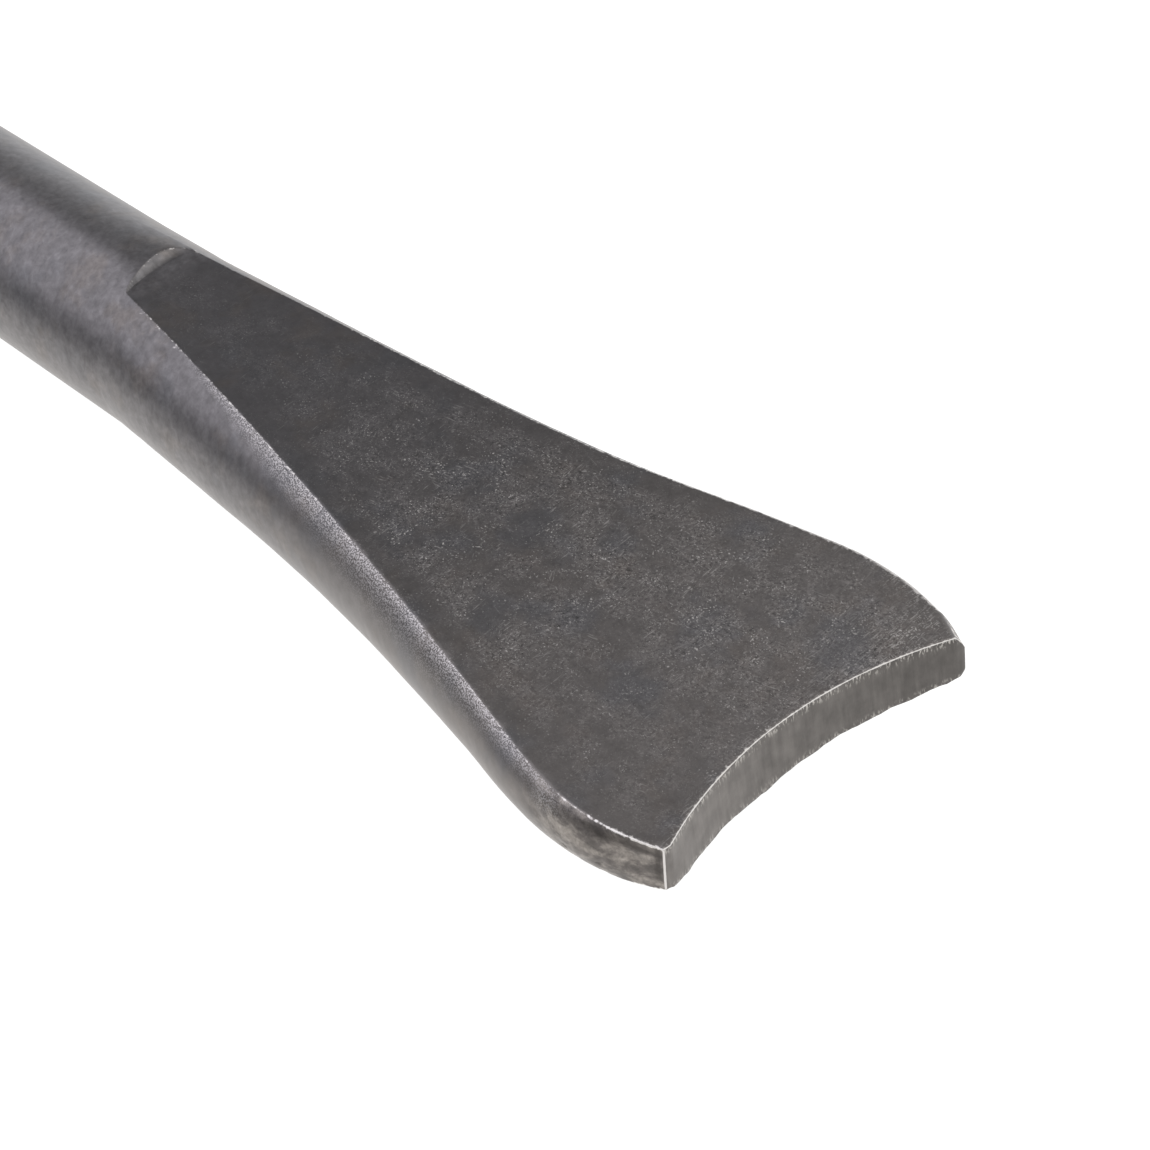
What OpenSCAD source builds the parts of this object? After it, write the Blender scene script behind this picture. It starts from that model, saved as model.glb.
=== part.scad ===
// Hooked pry bar: one forged round steel bar with a concave fan blade at one end and a nail claw on a
// gooseneck hook at the other, and a two-part grip moulded onto the shank just in front of the hook.
// Millimetres, +Z up. The shank lies along X with the blade towards +X, and the hook rises in the XZ plane.
// The origin lies under the middle of the whole tool, level with the flats that the grip rests on.

/* [Bar] */
// Diameter of the round bar
bar_d = 19; // [17:0.5:24]
// Straight shank, from the step behind the blade to the start of the hook
shank_l = 471.5; // [380:0.5:700]

/* [Fan blade] */
// Length of the blade, from the step to its corners
blade_l = 91; // [75:1:115]
// Depth from the top of the bar down to the flat of the blade, at the step
step_depth = 0.9; // [0.4:0.05:1.5]
// How far the face of the step leans back over that depth
step_lean = 1.8; // [0.1:0.1:3]
// Width of the flat where the fan is widest
fan_w = 36.4; // [32:0.1:45]
// Width of the flat at the tip, from corner to corner
tip_w = 32.7; // [29:0.1:35]
// Thickness of the tip
tip_t = 4.9; // [3:0.1:8]
// Radius of the shoulders, seen from above
shoulder_r = 25; // [20:1:40]
// Angle between the shank and each edge of the flat where the edge meets its shoulder
flare_angle = 13; // [10:0.5:16]
// Depth of the hollow in the concave end, between its corners
end_depth = 3.4; // [1:0.1:6]
// Flat left on each corner beside the hollow
corner_land = 0.8; // [0.3:0.1:2]
// How far the sides bulge, as a share of the blade's half thickness
side_bulge = 0.36; // [0.1:0.02:0.6]
// Length behind the tip over which that bulge dies away
bulge_end_l = 8; // [4:1:25]
// Length in front of the step over which the sides change from the round of the bar to that bulge
bulge_start_l = 62; // [20:1:80]

/* [Hook and claw] */
// Radius of the hook, along the middle of the bar
hook_r = 38; // [30:1:60]
// Angle that the hook turns through
hook_angle = 150; // [120:1:165]
// Length of the claw, from the end of the hook
claw_l = 60; // [50:1:80]
// Width of the claw at its tip
claw_w = 38; // [30:0.5:46]
// Thickness of the claw at its tip
claw_t = 3; // [2:0.1:5]
// How far the tip of the claw sweeps away from the shank
claw_sweep = 5; // [0:0.5:8]
// Length of the nail slot
slot_l = 34; // [20:1:40]
// Width of the nail slot at its mouth
slot_mouth_w = 11; // [8:0.5:14]
// Width of the nail slot at its round root
slot_root_w = 4; // [3:0.1:6]

/* [Grip] */
// Bare shank between the hook and the grip
grip_gap = 16; // [6:1:60]
// Length of the grip
grip_l = 128; // [100:1:160]
// Wall of the hard core sleeve
core_wall = 2; // [1.5:0.1:3]
// Length of each collar at the ends of the core
collar_l = 6; // [4:0.5:10]
// How far the collars stand out past the fullest part of the cushion
collar_rise = 2.7; // [1.5:0.1:5]
// How far the flats above and below each collar stand out past it
collar_flat_rise = 0.7; // [0.3:0.1:1.2]
// Chamfer on the collars and on the ends of the cushion
edge_chamfer = 1; // [0.3:0.1:1.5]
// Number of keys on the core that stop the cushion turning
key_count = 4; // [3:1:6]
// Width of each key
key_w = 3; // [2:0.5:5]
// Height of each key
key_h = 1.2; // [0.5:0.1:1.6]
// Length of each key, in the middle of the grip
key_l = 84; // [50:1:88]
// Thickness of the cushion at its ends
cushion_wall = 2.5; // [2.4:0.1:4]
// How much further the cushion stands out in the middle
cushion_swell = 0.8; // [0:0.1:1]
// Number of grip grooves round the cushion
groove_count = 9; // [3:1:14]
// Depth of each groove
groove_depth = 0.8; // [0.2:0.1:1]
// Width of each groove
groove_w = 4; // [2:0.5:5]
// Distance from one groove to the next
groove_pitch = 10; // [6:0.5:11]

/* [Hidden] */
$fn = 96;
bar_r = bar_d / 2;
// Where two lengths of the bar meet, one of them stands this far inside the other, so that no faces coincide
seam = 0.02;
// How far a cutter runs past what it cuts
past = 1;

// Blade
flat_z0 = bar_r - step_depth;
neck_hw = sqrt(bar_r * bar_r - flat_z0 * flat_z0);
shoulder_y = fan_w / 2 - shoulder_r;
shoulder_x = blade_l - sqrt(pow(shoulder_r, 2) - pow(tip_w / 2 - shoulder_y, 2));
joint_x = shoulder_x - shoulder_r * sin(flare_angle);
joint_y = shoulder_y + shoulder_r * cos(flare_angle);
flare_curve = (tan(flare_angle) * joint_x - (joint_y - neck_hw)) / pow(joint_x, 2);
flare_start = tan(flare_angle) - 2 * flare_curve * joint_x;
neck_bulge = (bar_r - neck_hw) / flat_z0;
hollow_hw = tip_w / 2 - corner_land;
hollow_r = (pow(hollow_hw, 2) + pow(end_depth, 2)) / (2 * end_depth);
min_bulge = 0.03;
blade_rings = 26;
side_steps = 10;

// Hook, claw and slot
hook_tube_r = bar_r - seam;
// Angle by which the hook starts inside the shank, where it still lies wholly within it
hook_lead = acos(1 - seam / 2 / hook_r);
claw_rings = 12;
hook_end = [-shank_l + hook_r * cos(270 - hook_angle), 0, hook_r + hook_r * sin(270 - hook_angle)];

// Grip
core_r = bar_r + core_wall;
cushion_r = core_r + cushion_wall;
collar_r = cushion_r + cushion_swell + collar_rise;
collar_flat_z = cushion_r + cushion_swell + collar_flat_rise;
cushion_l = grip_l - 2 * collar_l;
cushion_steps = 112;

// Whole tool
rear_x = -shank_l - hook_r - bar_r;
mid_x = (blade_l + rear_x) / 2;
rest_z = collar_flat_z;

// Goes smoothly from 0 to 1 as t does, and stays there outside
function ease(t) = let (c = min(max(t, 0), 1)) c * c * (3 - 2 * c);

// Half height of the blade at x
function flat_z(x) = flat_z0 + (tip_t / 2 - flat_z0) * x / blade_l;

// Half width of the blade's flat at x: a gentle curve from the step, then the arc of the shoulder
function flat_y(x) = x < joint_x
    ? neck_hw + flare_start * x + flare_curve * x * x
    : shoulder_y + sqrt(pow(shoulder_r, 2) - pow(x - shoulder_x, 2));

// How far each side of the blade bulges past its flat at x
function bulge(x) = flat_z(x)
    * (side_bulge + (neck_bulge - side_bulge) * (1 - ease(x / bulge_start_l)))
    * max(1 - ease((x - blade_l + bulge_end_l) / bulge_end_l), min_bulge);

// One section across a lofted end: flats of half width w at heights h and -h, and sides that are arcs
// bulging by b. The section stands at x, with its middle at height z.
function section(x, z, w, h, b) =
    let (
        arc_r = (h * h + b * b) / (2 * b),
        arc_y = w + b - arc_r,
        arc_a = asin(min(h / arc_r, 1)),
        right = [for (i = [0:side_steps]) let (a = arc_a * (1 - 2 * i / side_steps))
            [arc_y + arc_r * cos(a), arc_r * sin(a)]]
    )
    concat(
        [for (p = right) [x, p[0], z + p[1]]],
        [for (i = [side_steps:-1:0]) [x, -right[i][0], z + right[i][1]]]
    );

// A closed solid through a row of sections
module loft(sections) {
    n = len(sections[0]);
    last = len(sections) - 1;
    polyhedron(
        points = [for (s = sections) for (p = s) p],
        faces = concat(
            [[for (i = [n - 1:-1:0]) i]],
            [for (k = [0:last - 1]) for (i = [0:n - 1])
                let (a = k * n + i, b = k * n + (i + 1) % n) [a, b, b + n]],
            [for (k = [0:last - 1]) for (i = [0:n - 1])
                let (a = k * n + i, b = k * n + (i + 1) % n) [a, b + n, a + n]],
            [[for (i = [0:n - 1]) last * n + i]]
        )
    );
}

// The blade, with the arc of its hollow end cut through
module blade() {
    difference() {
        loft(concat(
            [section(-past, 0, neck_hw - seam, flat_z0 - seam, bar_r - neck_hw - seam)],
            [for (i = [0:blade_rings]) let (x = blade_l * i / blade_rings)
                section(x, 0, flat_y(x) - seam, flat_z(x) - (i == 0 ? seam : 0), bulge(x))]
        ));
        translate([blade_l - end_depth + hollow_r, 0, -bar_d / 2])
            cylinder(r = hollow_r, h = bar_d);
    }
}

// The straight round bar, with the leaning crescent steps above and below the blade
module shank() {
    difference() {
        translate([-shank_l, 0, 0])
            rotate([0, 90, 0])
                cylinder(r = bar_r, h = shank_l);
        for (side = [0, 180])
            rotate([side, 0, 0])
                translate([0, 0, flat_z0])
                    rotate([0, -atan(step_lean / step_depth), 0])
                        translate([0, -bar_d, 0])
                            cube([bar_d, 2 * bar_d, bar_d]);
    }
}

// The bend of the gooseneck
module hook() {
    translate([-shank_l, 0, hook_r])
        rotate([90, 0, 0])
            rotate([0, 0, 270 - hook_angle])
                rotate_extrude(angle = hook_angle + hook_lead)
                    translate([hook_r, 0])
                        circle(r = hook_tube_r);
}

// The claw along X from the end of the hook: round at its root, flat and wide at its tip
module claw() {
    root_r = hook_tube_r - seam;
    difference() {
        loft(concat(
            [section(-past, 0, seam, root_r - seam, root_r - 2 * seam)],
            [for (i = [0:claw_rings])
                let (
                    t = i / claw_rings,
                    half_t = root_r + (claw_t / 2 - root_r) * (1 - pow(1 - t, 1.6)),
                    half_w = root_r + (claw_w / 2 - root_r) * ease(t * 0.9) / ease(0.9),
                    round_side = half_t * (1 - 0.75 * ease(1.6 * t))
                )
                section(claw_l * t, claw_sweep * t * t, half_w - round_side + seam, half_t, round_side)]
        ));
        translate([0, 0, -bar_d])
            linear_extrude(height = 3 * bar_d)
                nail_slot();
    }
}

// Outline of the nail slot: a round root, and walls that open towards the mouth
module nail_slot() {
    root_x = claw_l - slot_l + slot_root_w / 2;
    open_a = atan((slot_mouth_w - slot_root_w) / 2 / (slot_l - slot_root_w / 2));
    mouth_hw = slot_mouth_w / 2 + past * tan(open_a);
    touch = slot_root_w / 2 * [-sin(open_a), cos(open_a)];
    translate([root_x, 0])
        circle(d = slot_root_w);
    polygon([
        [root_x + touch[0], touch[1]],
        [root_x + touch[0], -touch[1]],
        [claw_l + past, -mouth_hw],
        [claw_l + past, mouth_hw]
    ]);
}

// Collar of the core: a chamfered ring with a flat above and below
module collar() {
    intersection() {
        rotate_extrude()
            polygon([
                [bar_r, 0],
                [collar_r - edge_chamfer, 0],
                [collar_r, edge_chamfer],
                [collar_r, collar_l - edge_chamfer],
                [collar_r - edge_chamfer, collar_l],
                [bar_r, collar_l]
            ]);
        translate([-collar_flat_z, -collar_r, 0])
            cube([2 * collar_flat_z, 2 * collar_r, collar_l]);
    }
}

// Keys round the core, at the middle of its length
module keys() {
    for (i = [0:key_count - 1])
        rotate([0, 0, 45 + 360 * i / key_count])
            translate([bar_r + core_wall / 2, -key_w / 2, (grip_l - key_l) / 2])
                cube([core_wall / 2 + key_h, key_w, key_l]);
}

// The round of the cushion, which swells towards the middle and has grooves across it
module cushion_body() {
    groove_span = (groove_count - 1) * groove_pitch;
    function groove_at(z) = max([for (i = [0:groove_count - 1])
        let (d = abs(z - grip_l / 2 + groove_span / 2 - i * groove_pitch) / (groove_w / 2))
        d < 1 ? (1 + cos(180 * d)) / 2 : 0]);
    function outer_r(z) = cushion_r + cushion_swell * sin(180 * (z - collar_l) / cushion_l)
        - groove_depth * groove_at(z);
    z1 = collar_l + edge_chamfer;
    z2 = grip_l - collar_l - edge_chamfer;
    rotate_extrude()
        polygon(concat(
            [[core_r, grip_l - collar_l], [core_r, collar_l], [cushion_r - edge_chamfer, collar_l]],
            [for (i = [0:cushion_steps]) let (z = z1 + (z2 - z1) * i / cushion_steps) [outer_r(z), z]],
            [[cushion_r - edge_chamfer, grip_l - collar_l]]
        ));
}

// Lays the grip along the shank, from its rear end forwards
module on_shank() {
    translate([-shank_l + grip_gap, 0, 0])
        rotate([0, 90, 0])
            children();
}

// Puts the tool's origin where the head of this file says
module in_frame() {
    translate([-mid_x, 0, rest_z])
        children();
}

module bar() {
    color("dimgray")
        in_frame()
            union() {
                shank();
                hook();
                blade();
                translate(hook_end)
                    rotate([0, hook_angle - 180, 0])
                        claw();
            }
}

module grip_core() {
    color([0.16, 0.17, 0.18])
        in_frame()
            on_shank()
                union() {
                    difference() {
                        cylinder(r = core_r, h = grip_l);
                        translate([0, 0, -past])
                            cylinder(r = bar_r, h = grip_l + 2 * past);
                    }
                    collar();
                    translate([0, 0, grip_l - collar_l])
                        collar();
                    keys();
                }
}

module grip_cushion() {
    color([0.07, 0.07, 0.075])
        in_frame()
            on_shank()
                difference() {
                    cushion_body();
                    keys();
                }
}

bar();
grip_core();
grip_cushion();
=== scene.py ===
"""Looks of a hooked pry bar: one dark forged bar and the two sleeves of its grip.

Metres, +Z up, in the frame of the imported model. The bar is a row of sections along its centre line, from the
tip of the nail claw, round the gooseneck hook and along the shank, to the hollow end of the fan blade.
Each half of a section runs from the top, over one side, to the bottom, and the two halves meet at y = 0.
"""

import math

import bmesh
import bpy
import numpy as np
from mathutils import Matrix, Vector, noise


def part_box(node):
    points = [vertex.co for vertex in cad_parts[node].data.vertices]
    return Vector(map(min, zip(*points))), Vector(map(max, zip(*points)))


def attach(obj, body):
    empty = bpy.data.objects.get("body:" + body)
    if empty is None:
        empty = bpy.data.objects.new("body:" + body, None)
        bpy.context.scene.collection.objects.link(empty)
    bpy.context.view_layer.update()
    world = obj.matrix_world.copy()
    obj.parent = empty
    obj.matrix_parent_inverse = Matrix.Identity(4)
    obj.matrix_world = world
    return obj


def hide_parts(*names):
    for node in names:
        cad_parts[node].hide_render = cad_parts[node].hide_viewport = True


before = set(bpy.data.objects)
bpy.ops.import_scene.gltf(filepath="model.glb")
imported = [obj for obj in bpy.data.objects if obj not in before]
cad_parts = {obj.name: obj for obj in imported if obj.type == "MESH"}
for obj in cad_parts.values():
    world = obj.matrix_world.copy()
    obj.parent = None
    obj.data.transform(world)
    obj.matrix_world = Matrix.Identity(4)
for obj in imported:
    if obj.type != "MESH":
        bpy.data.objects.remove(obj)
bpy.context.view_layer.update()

MM = 0.001
BAR_LOW, BAR_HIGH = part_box("bar")
CORE_LOW, CORE_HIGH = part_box("grip_core")
CUSHION_LOW, CUSHION_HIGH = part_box("grip_cushion")
AXIS_Z = (CORE_LOW.z + CORE_HIGH.z) / 2
TIP_X = BAR_HIGH.x

# Bar and blade
BAR_R = 9.5 * MM
BLADE_L = 91 * MM
STEP_DEPTH = 0.9 * MM
STEP_LEAN = 1.1 * MM
STEP_SKEW = 0.37
STEP_HOLLOW = 0.95 * MM
FAN_W = 36.4 * MM
TIP_W = 32.7 * MM
TIP_T = 4.9 * MM
SHOULDER_R = 25 * MM
FLARE = math.radians(13)
END_DEPTH = 3.4 * MM
CORNER_LAND = 0.8 * MM
SIDE_BULGE = 0.36
BULGE_END_L = 8 * MM
BULGE_START_L = 62 * MM
NEAR_BULGE = 0.3 * MM
CHAMFER_TOP_W = 0.95 * MM
CHAMFER_TOP_H = 1.6 * MM
CHAMFER_LOW_W = 0.45 * MM
CHAMFER_LOW_H = 0.6 * MM
UNDERCUT = 0.55 * MM
END_ZONE_X = 80 * MM
PLAIN_X = -50 * MM
STEP_X = TIP_X - BLADE_L

# Hook and claw
HOOK_R = 38 * MM
HOOK_ANGLE = math.radians(150)
CLAW_L = 60 * MM
CLAW_W = 38 * MM
CLAW_T = 3 * MM
CLAW_SWEEP = 5 * MM
SLOT_L = 34 * MM
SLOT_MOUTH_W = 11 * MM
SLOT_ROOT_W = 4 * MM
SHANK_L = STEP_X - (BAR_LOW.x + BAR_R + HOOK_R)

# Grip
GRIP_L = CORE_HIGH.x - CORE_LOW.x
COLLAR_R = (CORE_HIGH.y - CORE_LOW.y) / 2
COLLAR_FLAT_Z = (CORE_HIGH.z - CORE_LOW.z) / 2
COLLAR_L = CUSHION_LOW.x - CORE_LOW.x
SLEEVE_R = BAR_R + 2 * MM
KEY_COUNT = 4
KEY_W = 3 * MM
KEY_TOP = SLEEVE_R + 1.2 * MM
KEY_L = 84 * MM
CUSHION_R = SLEEVE_R + 2.5 * MM
CUSHION_SWELL = (CUSHION_HIGH.y - CUSHION_LOW.y) / 2 - CUSHION_R
CUSHION_GAP = 0.03 * MM
GROOVE_COUNT = 9
GROOVE_DEPTH = 0.8 * MM
GROOVE_W = 4 * MM
GROOVE_PITCH = 10 * MM

FLAT_Z0 = BAR_R - STEP_DEPTH
NECK_HW = math.sqrt(BAR_R**2 - FLAT_Z0**2)
NECK_BULGE = (BAR_R - NECK_HW) / FLAT_Z0
SHOULDER_Y = FAN_W / 2 - SHOULDER_R
SHOULDER_X = BLADE_L - math.sqrt(SHOULDER_R**2 - (TIP_W / 2 - SHOULDER_Y) ** 2)
JOINT_X = SHOULDER_X - SHOULDER_R * math.sin(FLARE)
JOINT_Y = SHOULDER_Y + SHOULDER_R * math.cos(FLARE)
FLARE_CURVE = (math.tan(FLARE) * JOINT_X - (JOINT_Y - NECK_HW)) / JOINT_X**2
FLARE_START = math.tan(FLARE) - 2 * FLARE_CURVE * JOINT_X
HOLLOW_HW = TIP_W / 2 - CORNER_LAND
HOLLOW_R = (HOLLOW_HW**2 + END_DEPTH**2) / (2 * END_DEPTH)

# Points round half a section: over the flat, round its edge, down the side, then edge and flat from below
FLAT_STEPS = 34
EDGE_STEPS = 4
SIDE_STEPS = 22
HALF_POINTS = 2 * (FLAT_STEPS + 1 + EDGE_STEPS) + SIDE_STEPS - 1
RIM = 0.11 * MM
WELD = 2e-6


def ease(t):
    """From 0 to 1 as t does, and level outside."""
    t = np.clip(t, 0, 1)
    return t * t * (3 - 2 * t)


def rise(value, start, length):
    """From 0 to 1 as the value goes from start over that length, and level outside."""
    return ease((value - start) / length)


def bell(distance, width):
    """1 where the distance is 0, down to about a third at that width, and on to 0."""
    return np.exp(-((distance / width) ** 2))


def fractal(points, size, octaves=3, seed=0.0):
    """Fractal noise between -1 and 1 at each point, with features of that size."""
    shift = Vector((seed, 2.7 * seed, -1.3 * seed))
    fading, finer = 0.8, 2.1
    values = [noise.fractal(Vector(p) + shift, fading, finer, octaves) for p in (points / size).tolist()]
    return np.clip(np.array(values), -1, 1)


# ---- the blade's shape


def flat_z(x):
    """Height of the flat over the axis: it tapers from the step to the end."""
    return FLAT_Z0 + (TIP_T / 2 - FLAT_Z0) * np.clip(x, 0, BLADE_L) / BLADE_L


def flat_y(x):
    """Half width of the flat: a gentle curve from the step, then the arc of the shoulder."""
    x = np.clip(x, 0, BLADE_L)
    flare = NECK_HW + FLARE_START * x + FLARE_CURVE * x * x
    shoulder = SHOULDER_Y + np.sqrt(np.maximum(SHOULDER_R**2 - (x - SHOULDER_X) ** 2, 0))
    return np.where(x < JOINT_X, flare, shoulder)


def bulge(x):
    """How far each side bulges past the flat."""
    x = np.clip(x, 0, BLADE_L)
    share = SIDE_BULGE + (NECK_BULGE - SIDE_BULGE) * (1 - ease(x / BULGE_START_L))
    return flat_z(x) * share * np.maximum(1 - rise(x, BLADE_L - BULGE_END_L, BULGE_END_L), 0.03)


def far_spread(x):
    """How much wider the forging has left the flat on its far side than on its near side."""
    by_step = 0.75 * rise(x, -14 * MM, 14 * MM) * (1 - rise(x, 12 * MM, 32 * MM))
    middle = 0.3 * bell(x - 69 * MM, 8 * MM) - 0.35 * bell(x - 52 * MM, 12 * MM)
    corner = 0.15 * rise(x, 70 * MM, 8 * MM) + 0.65 * rise(x, 86.6 * MM, 3.6 * MM)
    return (by_step + middle + corner) * MM


def half_flat(x, side):
    """Half width of the flat on the near (-1) or far (1) side, and the bulge of that side past it."""
    if side < 0:
        return flat_y(x), bulge(x) + NEAR_BULGE * (bell(x - 73 * MM, 5 * MM) + bell(x - 62 * MM, 14 * MM))
    spread = far_spread(x)
    return flat_y(x) + spread, bulge(x) - spread * (1 - rise(x, 56 * MM, 10 * MM))


def side_arc(w, h, b):
    """Radius, middle and half angle of the arc from (w, h) to (w, -h) that bulges by b."""
    radius = (h * h + b * b) / (2 * b)
    return radius, w + b - radius, np.arcsin(np.minimum(h / radius, 1))


def round_top(x, y):
    """Height over the axis of the round of the shank, flattened a little before the step."""
    y = y * np.where(y > 0, NECK_HW / (NECK_HW + far_spread(x)), 1)
    across = np.clip(1 - (y / NECK_HW) ** 2, 0, 1)
    flattened = 0.2 * MM * rise(x, -7 * MM, 7 * MM) * across**2
    return np.sqrt(np.maximum(BAR_R**2 - y * y, 0)) - flattened


def step_cut(x, y):
    """Height over the axis of the face of the step, and how far up its lean that is. The face is hollow along
    its foot, and leans more towards the far side."""
    foot_x = -STEP_HOLLOW * np.clip(1 - np.abs((y - 0.9 * MM) / (4.9 * MM)) ** 3, 0, 1)
    length = np.maximum(STEP_LEAN + STEP_SKEW * y, 0.3 * MM)
    lean = np.clip((foot_x - x) / length, 0, 3)
    foot = 0.45
    cut = FLAT_Z0 + STEP_DEPTH * (np.sqrt(lean**2 + foot**2) - foot) / (math.sqrt(1 + foot**2) - foot)
    return np.where(x > 0, flat_z(x), cut), lean


def top_z(x, y):
    """Height of the top over the axis: the round of the shank, cut down by the step and the flat."""
    round_z = round_top(x, y)
    cut, lean = step_cut(x, y)
    soft = 0.05 * MM
    both = (round_z + cut - np.sqrt((round_z - cut) ** 2 + soft**2)) / 2
    return np.where(x > 0, cut, np.where(lean > 2, round_z, both))


def edge_size(x, side):
    """How far wear has rounded the edge of the flat, on the near side (-1) or the far side (1)."""
    middle = (0.3 if side < 0 else 0.2) * bell(x - 50 * MM, 22 * MM)
    near_shoulder = 0.2 * bell(x - 78 * MM, 6 * MM) * (side < 0)
    return (0.08 + rise(x, -1 * MM, 12 * MM) * (middle + near_shoulder)) * MM


def far_chamfer(x, side):
    """How much of the chamfer of the far corner there is, from 0 to 1."""
    return rise(x, 86.5 * MM, 4 * MM) * (side > 0)


def end_x(y):
    """Where the hollow end lies at this distance from the middle. It is a little wider on the far side."""
    y = np.abs(y) * np.where(y > 0, 0.96, 1)
    hollow = BLADE_L - END_DEPTH + HOLLOW_R - np.sqrt(HOLLOW_R**2 - np.minimum(y, HOLLOW_HW) ** 2)
    return np.minimum(hollow, BLADE_L)


def bezier(a, b, c, t):
    return (1 - t) ** 2 * a + 2 * t * (1 - t) * b + t**2 * c


def flat_shares():
    """Places across half the flat, from its middle out, closer together towards the edge."""
    t = np.linspace(0, 1, FLAT_STEPS + 1)
    return 0.7 * t + 0.3 * np.sin(t * math.pi / 2)


def blade_half(x, side):
    """(y, z) of half a section for x, one row for each station and one column for each point of the half."""
    share = flat_shares()
    turn = np.linspace(0, 1, EDGE_STEPS + 1)[1:]
    down = np.linspace(0, 1, SIDE_STEPS + 1)[1:]
    y, z = np.zeros_like(x), np.zeros_like(x)
    for j in range(HALF_POINTS):
        upper = j < HALF_POINTS // 2
        flip = 1.0 if upper else -1.0
        i = j if upper else HALF_POINTS - 1 - j
        at = x[:, j]
        w, b = half_flat(at, side)
        h = flat_z(at)
        radius, middle, full = side_arc(w, h, b)
        chamfer, worn = far_chamfer(at, side), edge_size(at, side)
        high = full - (worn + CHAMFER_TOP_H * chamfer) / radius
        low = full - (worn + CHAMFER_LOW_H * chamfer) / radius
        inset = worn + (CHAMFER_TOP_W if upper else CHAMFER_LOW_W) * chamfer
        if i <= FLAT_STEPS:
            y[:, j] = share[i] * (w - inset)
            z[:, j] = flip * top_z(at, side * y[:, j])
        elif i <= FLAT_STEPS + EDGE_STEPS:
            t = turn[i - FLAT_STEPS - 1]
            stop = high if upper else low
            start_y, start_z = w - inset, top_z(at, side * (w - inset))
            stop_y, stop_z = middle + radius * np.cos(stop), radius * np.sin(stop)
            turn_y = w + 0.8 * chamfer * ((start_y + stop_y) / 2 - w)
            turn_z = h + 0.8 * chamfer * ((start_z + stop_z) / 2 - h)
            y[:, j] = bezier(start_y, turn_y, stop_y, t)
            z[:, j] = flip * bezier(start_z, turn_z, stop_z, t)
        else:
            angle = high - (high + low) * down[j - FLAT_STEPS - EDGE_STEPS - 1]
            y[:, j] = middle + radius * np.cos(angle)
            z[:, j] = radius * np.sin(angle)
    return side * y, z


def blade_stations():
    """Nominal x of each station from the rear of the straight shank to the end, measured from the step."""
    parts = [
        np.arange(-SHANK_L, -34 * MM, 6 * MM),
        np.arange(-34 * MM, -3.1 * MM, 0.7 * MM),
        np.arange(-3.1 * MM, 0.4 * MM, 0.13 * MM),
        np.arange(0.4 * MM, BLADE_L - 1.2 * MM, 0.4 * MM),
        np.linspace(BLADE_L - 1.2 * MM, BLADE_L - RIM, 5),
    ]
    return np.concatenate(parts)


def shank_and_blade(side):
    """Points (station, point, xyz) of half the shank and blade up to its rim, with x from the step."""
    nominal = blade_stations()
    x = np.repeat(nominal[:, None], HALF_POINTS, 1)
    ramp = rise(nominal, BLADE_L - 30 * MM, 30 * MM)[:, None]
    for _ in range(6):
        y, z = blade_half(x, side)
        x = nominal[:, None] - (BLADE_L - end_x(y)) * ramp
    y, z = blade_half(x, side)
    return np.stack([x, y, z], -1)


def rim_and_wall(last, side):
    """The small round of the rim, and the hollow wall inside it, from the last station of a half."""
    y, z = last[:, 1], last[:, 2]
    across = np.stack([np.gradient(z), -np.gradient(y)], -1) * side
    across /= np.linalg.norm(across, axis=1)[:, None]
    inward = -across * np.sign((across * last[:, 1:]).sum(1))[:, None]
    middle = np.arange(len(y)) <= FLAT_STEPS - 6
    middle |= middle[::-1]
    inward[middle] = np.stack([np.zeros(middle.sum()), -np.sign(z[middle])], -1)
    rings = []
    for forward, inset in ((0.71, 0.29), (1.0, 1.0)):
        p = last.copy()
        p[:, 1:] += inward * RIM * inset
        p[:, 0] = end_x(p[:, 1]) - RIM * (1 - forward)
        rings.append(p)
    n = FLAT_STEPS
    ring = rings[-1]
    top, bottom, outer = ring[: n + 1], ring[::-1][: n + 1], ring[n : len(ring) - n]
    rows = len(outer)
    wall = np.zeros((rows, n + 1, 3))
    down = np.linspace(0, 1, rows)
    fall = (outer[:, 2] - outer[0, 2]) / (outer[-1, 2] - outer[0, 2])
    for i in range(rows):
        u = np.linspace(0, 1, n + 1)
        edge = top * (1 - fall[i]) + bottom * fall[i]
        straight = outer[0] * (1 - fall[i]) + outer[-1] * fall[i]
        wall[i] = edge + (outer[i] - straight) * (u**3)[:, None]
        wall[i, :, 0] = end_x(wall[i, :, 1])
    return rings, wall


# ---- hook and claw


def hook_half(side):
    """Half sections round the hook, from its end back to the shank."""
    turn = np.linspace(HOOK_ANGLE, 0, 46)[:-1]
    y, z = blade_half(np.full((1, HALF_POINTS), PLAIN_X), side)
    up = np.stack([np.sin(turn), 0 * turn, np.cos(turn)], -1)
    middle = np.stack([-SHANK_L - HOOK_R * np.sin(turn), 0 * turn, HOOK_R - HOOK_R * np.cos(turn)], -1)
    points = middle[:, None, :] + z[0][None, :, None] * up[:, None, :]
    points[:, :, 1] = y[0]
    return points


def claw_quarter(w, h, b, root_share, edge):
    """(y, z) of a quarter section from the middle of the flat down to the middle of the side."""
    radius, middle, full = side_arc(w, h, b)
    length = w + full * radius
    corner = max(w, root_share * length)

    def at(l):
        a = full - (l - w) / radius
        y = np.where(l < w, l, middle + radius * np.cos(a))
        z = np.where(l < w, h, radius * np.sin(a))
        return np.stack([y, z], -1)

    flat = at(flat_shares() * (corner - edge))
    t = np.linspace(0, 1, EDGE_STEPS + 1)[1:, None]
    ends = at(np.array([corner - edge, corner, corner + edge]))
    turn = bezier(ends[0], ends[1], ends[2], t)
    side = at(np.linspace(corner + edge, length, SIDE_STEPS // 2 + 1)[1:])
    return np.concatenate([flat, turn, side])


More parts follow.
